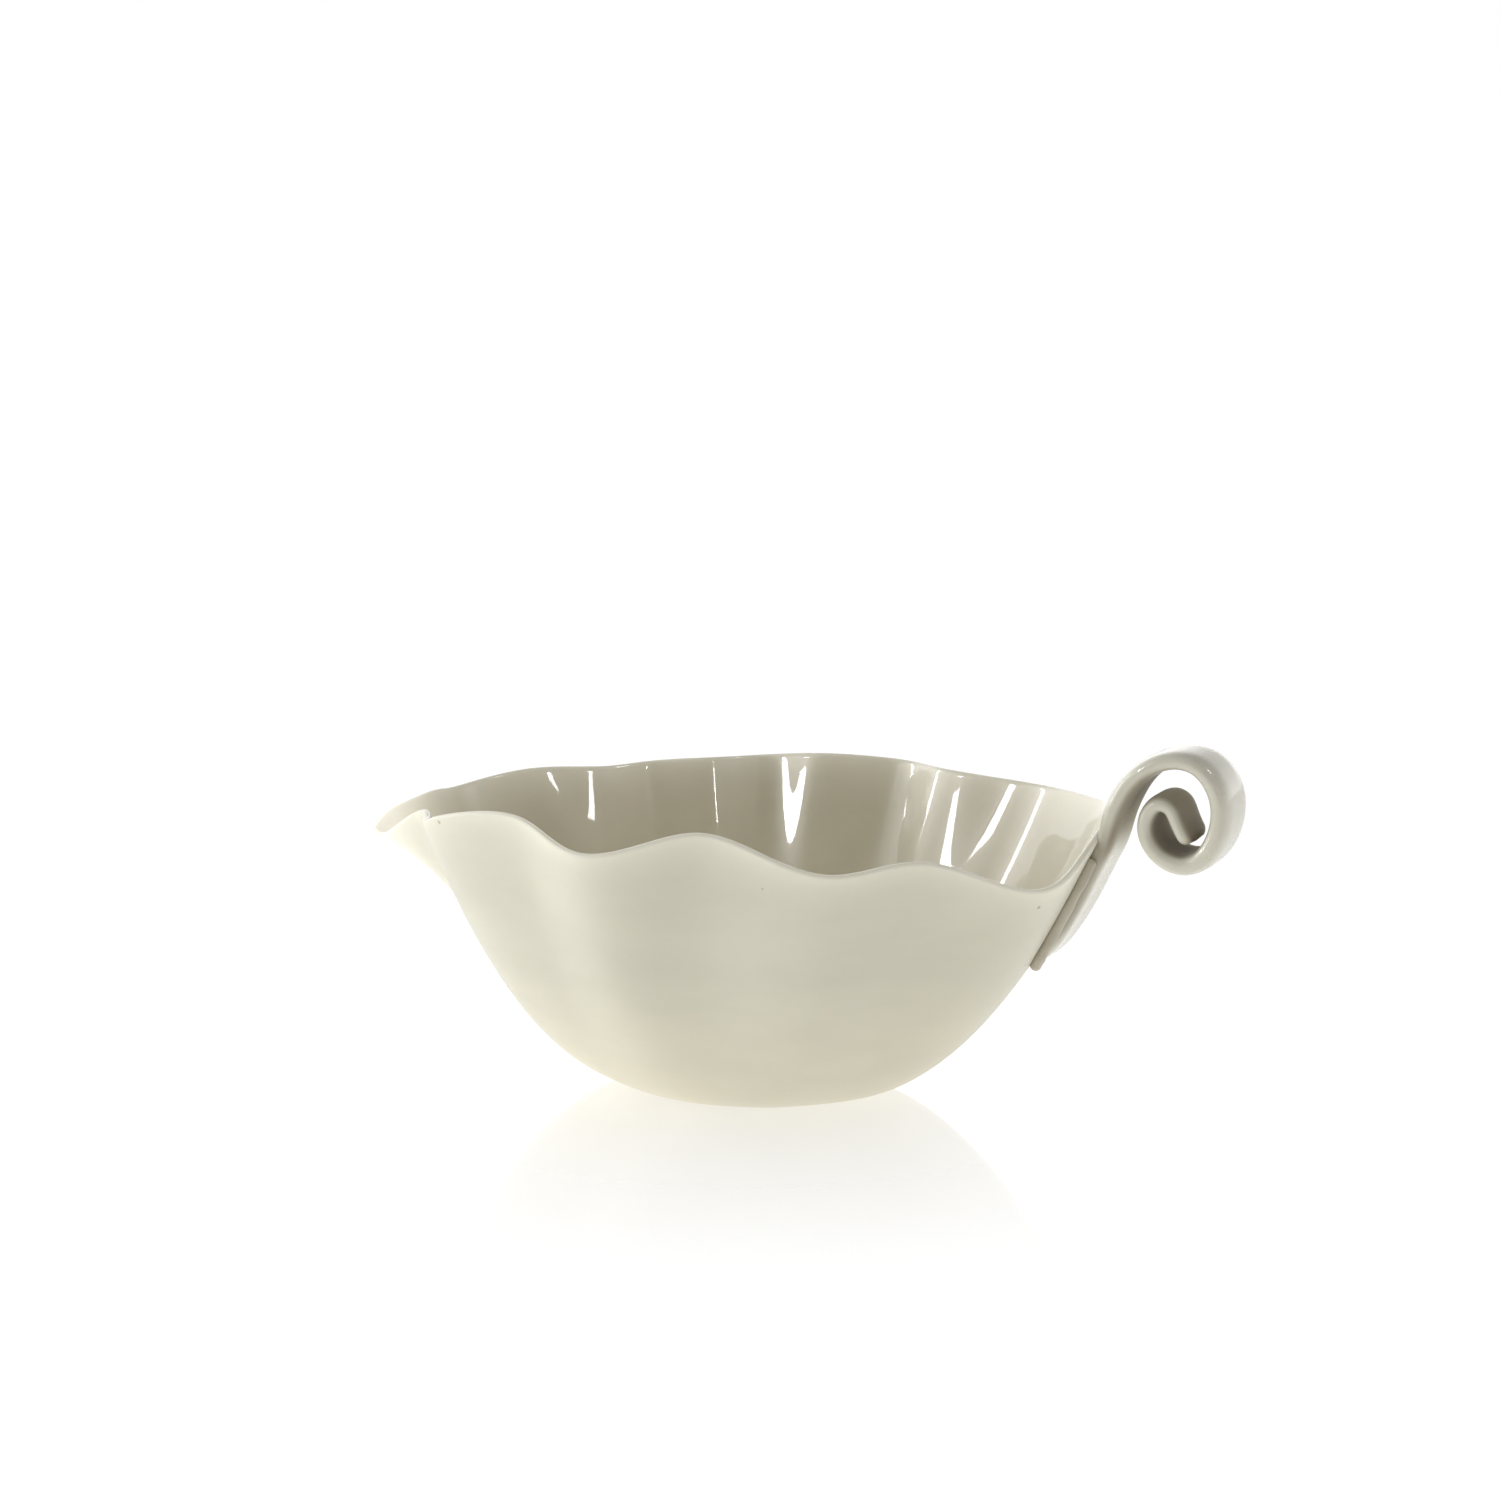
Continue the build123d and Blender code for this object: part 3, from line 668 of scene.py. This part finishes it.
def pit_group():
    """Sparse tiny pits: cells whose random value is high get a small round mark at the middle."""
    if "pits" in bpy.data.node_groups:
        return bpy.data.node_groups["pits"]
    group, entry, leave = new_group(
        "pits", [("Scale", "NodeSocketFloat", 170.0), ("Size", "NodeSocketFloat", 0.05),
                 ("Rarity", "NodeSocketFloat", 0.955)], [("Mask", "NodeSocketFloat")])
    where = add(group, "ShaderNodeTexCoord")
    cells = add(group, "ShaderNodeTexVoronoi", feature="F1")
    group.links.new(where.outputs["Object"], cells.inputs["Vector"])
    group.links.new(entry.outputs["Scale"], cells.inputs["Scale"])
    edge = add(group, "ShaderNodeMath", operation="MULTIPLY", inputs={1: 2.2})
    group.links.new(entry.outputs["Size"], edge.inputs[0])
    spot = add(group, "ShaderNodeMapRange", interpolation_type="SMOOTHSTEP",
               inputs={"To Min": 1.0, "To Max": 0.0})
    group.links.new(cells.outputs["Distance"], spot.inputs["Value"])
    group.links.new(entry.outputs["Size"], spot.inputs["From Min"])
    group.links.new(edge.outputs[0], spot.inputs["From Max"])
    pick = add(group, "ShaderNodeSeparateColor")
    group.links.new(cells.outputs["Color"], pick.inputs["Color"])
    rare = add(group, "ShaderNodeMath", operation="GREATER_THAN")
    group.links.new(pick.outputs["Red"], rare.inputs[0])
    group.links.new(entry.outputs["Rarity"], rare.inputs[1])
    both = add(group, "ShaderNodeMath", operation="MULTIPLY")
    group.links.new(spot.outputs["Result"], both.inputs[0])
    group.links.new(rare.outputs[0], both.inputs[1])
    group.links.new(both.outputs[0], leave.inputs["Mask"])
    return group


def new_material(name):
    """An empty node material with its shader and output."""
    material = bpy.data.materials.new(name)
    material.use_nodes = True
    tree = material.node_tree
    tree.nodes.clear()
    shader = add(tree, "ShaderNodeBsdfPrincipled")
    out = add(tree, "ShaderNodeOutputMaterial")
    tree.links.new(shader.outputs["BSDF"], out.inputs["Surface"])
    return material, tree, shader


def mix_colour(tree, factor, low, high, blend="MIX"):
    """Mix two colours or colour sockets by a factor or factor socket; returns the result socket."""
    node = add(tree, "ShaderNodeMix", data_type="RGBA", blend_type=blend)
    for socket, value in ((node.inputs[0], factor), (node.inputs[6], low), (node.inputs[7], high)):
        if isinstance(value, bpy.types.NodeSocket):
            tree.links.new(value, socket)
        elif isinstance(value, float):
            socket.default_value = value
        else:
            socket.default_value = (*value, 1.0)
    return node.outputs[2]


def spread(tree, value, low_in, high_in, low_out, high_out):
    """Map a value from one span to another, held at its ends; returns the result socket."""
    node = add(tree, "ShaderNodeMapRange", inputs={"From Min": low_in, "From Max": high_in,
                                                   "To Min": low_out, "To Max": high_out})
    tree.links.new(value, node.inputs["Value"])
    return node.outputs["Result"]


def read_mark(tree, name):
    """A float attribute of the piece's own mesh; returns its socket."""
    return add(tree, "ShaderNodeAttribute", attribute_name=name).outputs["Fac"]


def darker(tint, by=0.88):
    """A colour made a little darker."""
    return tuple(by * c for c in tint)


def porcelain(name, g, tooth):
    """What every part of the piece shares: off-white porcelain with slow mottling, warmer and
    lighter toward the foot as painted bounce light from the floor, under the fine bumps of a
    hand-smoothed skin. Returns the material, its tree, its shader, the colour's socket, the shade
    mask's socket and the mottle's."""
    material, tree, shader = new_material(name)
    where = add(tree, "ShaderNodeTexCoord")
    split = add(tree, "ShaderNodeSeparateXYZ")
    tree.links.new(where.outputs["Object"], split.inputs["Vector"])
    smear = add(tree, "ShaderNodeGroup", node_tree=smear_group())
    mottle = smear.outputs["Mottle"]
    # Painted bounce light: warmer and lighter toward the foot, as if lit from the floor.
    warm = spread(tree, split.outputs["Z"], 0.0, g.warm_height, 1.0, 0.0)
    skin_colour = mix_colour(tree, warm, tuple(g.body), tuple(g.warm))
    shade = spread(tree, mottle, 0.38, 0.68, 0.0, 0.5)
    skin_colour = mix_colour(tree, shade, skin_colour, darker(g.body))
    bump = add(tree, "ShaderNodeBump", inputs={"Strength": tooth, "Distance": 0.0004})
    tree.links.new(smear.outputs["Height"], bump.inputs["Height"])
    tree.links.new(bump.outputs["Normal"], shader.inputs["Normal"])
    shader.inputs["IOR"].default_value = 1.5
    shader.inputs["Subsurface Weight"].default_value = 0.35
    shader.inputs["Subsurface Radius"].default_value = (1.0, 0.8, 0.6)
    shader.inputs["Subsurface Scale"].default_value = 0.0025
    shader.inputs["Coat Roughness"].default_value = g.gloss
    return material, tree, shader, skin_colour, shade, mottle


def bowl_porcelain(g):
    """Satin outside with rare pits, glossy glaze where the mesh is marked inside, and a painted
    glow, an emission that stands in for light through the clay, where it is marked thin."""
    material, tree, shader, skin_colour, shade, _ = porcelain("porcelain_satin_and_glaze", g, 0.25)
    pits = add(tree, "ShaderNodeGroup", node_tree=pit_group())
    speckled = mix_colour(tree, pits.outputs["Mask"], skin_colour, tuple(g.speck))
    inside = spread(tree, read_mark(tree, "inside"), 0.25, 0.75, 0.0, 1.0)
    glaze = mix_colour(tree, shade, tuple(g.inner), darker(g.inner))
    # Painted glow: emission on the thin spout and rim stands in for light through the clay.
    glow = mix_colour(tree, read_mark(tree, "thin"), (0.0, 0.0, 0.0), (1.0, 0.98, 0.90))
    rough = spread(tree, inside, 0.0, 1.0, g.satin, g.under_glaze)
    coat = spread(tree, inside, 0.0, 1.0, 0.12, 1.0)
    tree.links.new(mix_colour(tree, inside, speckled, glaze), shader.inputs["Base Color"])
    tree.links.new(rough, shader.inputs["Roughness"])
    tree.links.new(coat, shader.inputs["Coat Weight"])
    tree.links.new(glow, shader.inputs["Emission Color"])
    shader.inputs["Emission Strength"].default_value = g.painted_lip_glow
    return material


def strap_porcelain(g):
    """Glossy glaze all over the strap, darker and duller as painted shade where the mesh is marked.
    """
    material, tree, shader, skin_colour, _, mottle = porcelain("porcelain_glazed_strap", g, 0.12)
    # Painted shade: marked hollows and undersides get a darker colour, more roughness, less coat.
    painted_shade_mask = read_mark(tree, "painted_shade_mask")
    rough = add(tree, "ShaderNodeMath", operation="MULTIPLY_ADD", inputs={1: 0.45})
    tree.links.new(painted_shade_mask, rough.inputs[0])
    tree.links.new(spread(tree, mottle, 0.3, 0.7, 0.22, 0.34), rough.inputs[2])
    coat = spread(tree, painted_shade_mask, 0.0, 0.8, 1.0, 0.0)
    with_painted_shade = mix_colour(tree, painted_shade_mask, skin_colour, tuple(g.painted_shade))
    tree.links.new(with_painted_shade, shader.inputs["Base Color"])
    tree.links.new(rough.outputs[0], shader.inputs["Roughness"])
    tree.links.new(coat, shader.inputs["Coat Weight"])
    return material


def slip_porcelain(g):
    """The bead of slip: satin and greyer than the body, with streaks of the body's colour."""
    material, tree, shader, _, _, mottle = porcelain("porcelain_slip", g, 0.25)
    rough = spread(tree, mottle, 0.3, 0.7, g.satin - 0.06, g.satin + 0.06)
    streak = spread(tree, mottle, 0.35, 0.65, 0.0, 0.5)
    streaked = mix_colour(tree, streak, tuple(g.slip), tuple(g.body))
    tree.links.new(streaked, shader.inputs["Base Color"])
    tree.links.new(rough, shader.inputs["Roughness"])
    return material


# ---- operators ----

class BOAT_OT_bowl(bpy.types.Operator):
    """Build the fluted bowl with its pouring lip and foot"""
    bl_idname = "boat.bowl"
    bl_label = "Bowl"

    def execute(self, context):
        b = context.scene.boat_bowl
        rows, within, thin = bowl_surface(b)
        mesh = skin("bowl_skin", rows)
        mark(mesh, "inside", np.repeat(within, b.steps_around), [0.0, 1.0])
        # The thin mark carries the painted glow of the spout and rim.
        mark(mesh, "thin", thin, [0.0, 0.0])
        material = bowl_porcelain(context.scene.boat_glaze)
        place("fluted_bowl", mesh, material, "bowl")
        return {"FINISHED"}


class BOAT_OT_handle(bpy.types.Operator):
    """Build the scrolled strap handle"""
    bl_idname = "boat.handle"
    bl_label = "Handle"

    def execute(self, context):
        rows, painted_shade_mask = strap_surface(context.scene.boat_bowl, context.scene.boat_handle)
        mesh = skin("handle_skin", rows)
        # The mark carries the painted shade of the strap's hollows and undersides.
        mark(mesh, "painted_shade_mask", painted_shade_mask, [0.0, 0.0])
        material = strap_porcelain(context.scene.boat_glaze)
        place("scroll_handle", mesh, material, "handle")
        return {"FINISHED"}


class BOAT_OT_slip(bpy.types.Operator):
    """Build the bead of slip round the strap's root"""
    bl_idname = "boat.slip"
    bl_label = "Luting slip"

    def execute(self, context):
        scene = context.scene
        rows = slip_surface(scene.boat_bowl, scene.boat_handle, scene.boat_slip)
        mesh = skin("slip_skin", rows)
        material = slip_porcelain(context.scene.boat_glaze)
        place("luting_bead", mesh, material, "luting_slip")
        return {"FINISHED"}


def softbox(name, azimuth, elevation, wide, high, radiance):
    """A rectangular studio light seen from the object at an azimuth and elevation in degrees.
    Its power is its area times pi times the radiance."""
    data = bpy.data.lights.new(name, "AREA")
    data.shape = "RECTANGLE"
    data.size, data.size_y = wide, high
    data.energy = wide * high * math.pi * radiance
    lamp = bpy.data.objects.new(name, data)
    bpy.context.scene.collection.objects.link(lamp)
    a, e = math.radians(azimuth), math.radians(elevation)
    toward = (math.cos(a) * math.cos(e), math.sin(a) * math.cos(e), math.sin(e))
    lamp.location = [t + LIGHT_REACH * v for t, v in zip(LIGHT_TARGET, toward)]
    aim(lamp, LIGHT_TARGET)


def aim(item, target):
    """Turn a camera or light so that it looks at a point."""
    item.rotation_euler = (Vector(target) - item.location).to_track_quat("-Z", "Y").to_euler()


class BOAT_OT_stage(bpy.types.Operator):
    """Build the floor, the studio light and the camera"""
    bl_idname = "boat.stage"
    bl_label = "Stage"

    def execute(self, context):
        s = context.scene.boat_stage
        f = s.floor_half
        mesh = bpy.data.meshes.new("floor_sheet")
        mesh.from_pydata([(-f, -f, 0), (f, -f, 0), (f, f, 0), (-f, f, 0)], [], [(0, 1, 2, 3)])
        floor = bpy.data.objects.new("floor", mesh)
        context.scene.collection.objects.link(floor)
        mesh.materials.append(self.floor_material())
        for name, values in SOFTBOXES.items():
            softbox(name, *values)
        self.surround(context)
        self.camera(context, s)
        context.scene.view_settings.view_transform = "Standard"
        return {"FINISHED"}

    def floor_material(self):
        """Pale acrylic: seen by the camera as white with a faint mirror image that fades away
        from the foot, and by everything else as a plain pale sheet."""
        material, tree, shader = new_material("white_acrylic_floor")
        shader.inputs["Base Color"].default_value = (0.70, 0.70, 0.69, 1)
        shader.inputs["Roughness"].default_value = 0.6
        shader.inputs["Emission Color"].default_value = (1.0, 0.99, 0.96, 1)
        shader.inputs["Emission Strength"].default_value = 0.50
        sheet = add(tree, "ShaderNodeEmission", inputs={"Strength": 0.965})
        soft = add(tree, "ShaderNodeBsdfDiffuse")
        soft.inputs["Color"].default_value = (0.12, 0.12, 0.12, 1)
        lit = add(tree, "ShaderNodeAddShader")
        mirror = add(tree, "ShaderNodeBsdfGlossy", inputs={"Roughness": 0.03})
        mirror.inputs["Color"].default_value = (1.0, 1.0, 1.0, 1)
        seen = add(tree, "ShaderNodeMixShader")
        where = add(tree, "ShaderNodeTexCoord")
        away = add(tree, "ShaderNodeVectorMath", operation="LENGTH")
        tree.links.new(where.outputs["Object"], away.inputs[0])
        fade = spread(tree, away.outputs["Value"], 0.02, 0.14, 0.52, 0.0)
        tree.links.new(fade, seen.inputs[0])
        tree.links.new(sheet.outputs[0], lit.inputs[0])
        tree.links.new(soft.outputs[0], lit.inputs[1])
        tree.links.new(lit.outputs[0], seen.inputs[1])
        tree.links.new(mirror.outputs[0], seen.inputs[2])
        path = add(tree, "ShaderNodeLightPath")
        pick = add(tree, "ShaderNodeMixShader")
        tree.links.new(path.outputs["Is Camera Ray"], pick.inputs[0])
        tree.links.new(shader.outputs[0], pick.inputs[1])
        tree.links.new(seen.outputs[0], pick.inputs[2])
        out = next(n for n in tree.nodes if n.bl_idname == "ShaderNodeOutputMaterial")
        tree.links.new(pick.outputs[0], out.inputs["Surface"])
        return material

    def surround(self, context):
        """White walls round the sides and back, dimmer overhead, to the right and in front; the
        camera itself sees plain white."""
        world = bpy.data.worlds.new("Studio")
        context.scene.world = world
        world.use_nodes = True
        tree = world.node_tree
        tree.nodes.clear()
        where = add(tree, "ShaderNodeTexCoord")
        split = add(tree, "ShaderNodeSeparateXYZ")
        tree.links.new(where.outputs["Generated"], split.inputs["Vector"])
        lean = add(tree, "ShaderNodeMath", operation="MULTIPLY_ADD", inputs={1: 0.25})
        tree.links.new(split.outputs["X"], lean.inputs[0])
        tree.links.new(split.outputs["Z"], lean.inputs[2])
        high = spread(tree, lean.outputs[0], 0.15, 0.58, 1.3, 0.30)
        front = spread(tree, split.outputs["Y"], -0.82, -0.32, 0.05, 1.12)
        both = add(tree, "ShaderNodeMath", operation="MULTIPLY")
        tree.links.new(high, both.inputs[0])
        tree.links.new(front, both.inputs[1])
        light = add(tree, "ShaderNodeBackground")
        light.inputs["Color"].default_value = (1.0, 0.99, 0.97, 1)
        tree.links.new(both.outputs[0], light.inputs["Strength"])
        plain = add(tree, "ShaderNodeBackground", inputs={"Strength": 1.0})
        plain.inputs["Color"].default_value = (1, 1, 1, 1)
        path = add(tree, "ShaderNodeLightPath")
        pick = add(tree, "ShaderNodeMixShader")
        out = add(tree, "ShaderNodeOutputWorld")
        tree.links.new(path.outputs["Is Camera Ray"], pick.inputs[0])
        tree.links.new(light.outputs[0], pick.inputs[1])
        tree.links.new(plain.outputs[0], pick.inputs[2])
        tree.links.new(pick.outputs[0], out.inputs["Surface"])

    def camera(self, context, s):
        """A long lens on the object, a little above its rim."""
        data = bpy.data.cameras.new("Camera")
        data.lens = s.lens
        data.sensor_width = 36.0
        data.clip_start = 0.01
        camera = bpy.data.objects.new("Camera", data)
        context.scene.collection.objects.link(camera)
        target = (0.0, 0.0, s.aim_height)
        back = (math.sin(s.azimuth) * math.cos(s.elevation),
                -math.cos(s.azimuth) * math.cos(s.elevation), math.sin(s.elevation))
        camera.location = [t + s.distance * v for t, v in zip(target, back)]
        aim(camera, target)
        context.scene.camera = camera


OPERATORS = [BOAT_OT_bowl, BOAT_OT_handle, BOAT_OT_slip, BOAT_OT_stage]


class BOAT_PT_panel(bpy.types.Panel):
    """Buttons and sizes for the sauce boat"""
    bl_idname = "BOAT_PT_panel"
    bl_label = "Sauce Boat"
    bl_space_type = "VIEW_3D"
    bl_region_type = "UI"
    bl_category = "Sauce Boat"

    def draw(self, context):
        for operator in OPERATORS:
            self.layout.operator(operator.bl_idname)
        for key in SETTINGS:
            box = self.layout.box()
            group = getattr(context.scene, key)
            for name in group.bl_rna.properties.keys():
                if name not in {"rna_type", "name"}:
                    box.prop(group, name)


def register():
    """Register the settings, the operators and the panel."""
    for key, group in SETTINGS.items():
        bpy.utils.register_class(group)
        setattr(bpy.types.Scene, key, PointerProperty(type=group))
    for item in OPERATORS + [BOAT_PT_panel]:
        bpy.utils.register_class(item)


def unregister():
    """Take everything registered out again."""
    for item in [BOAT_PT_panel] + OPERATORS[::-1]:
        bpy.utils.unregister_class(item)
    for key, group in SETTINGS.items():
        delattr(bpy.types.Scene, key)
        bpy.utils.unregister_class(group)


def main():
    """Build every piece and the stage."""
    register()
    bpy.ops.boat.bowl()
    bpy.ops.boat.handle()
    bpy.ops.boat.slip()
    bpy.ops.boat.stage()


if __name__ == "__main__":
    main()
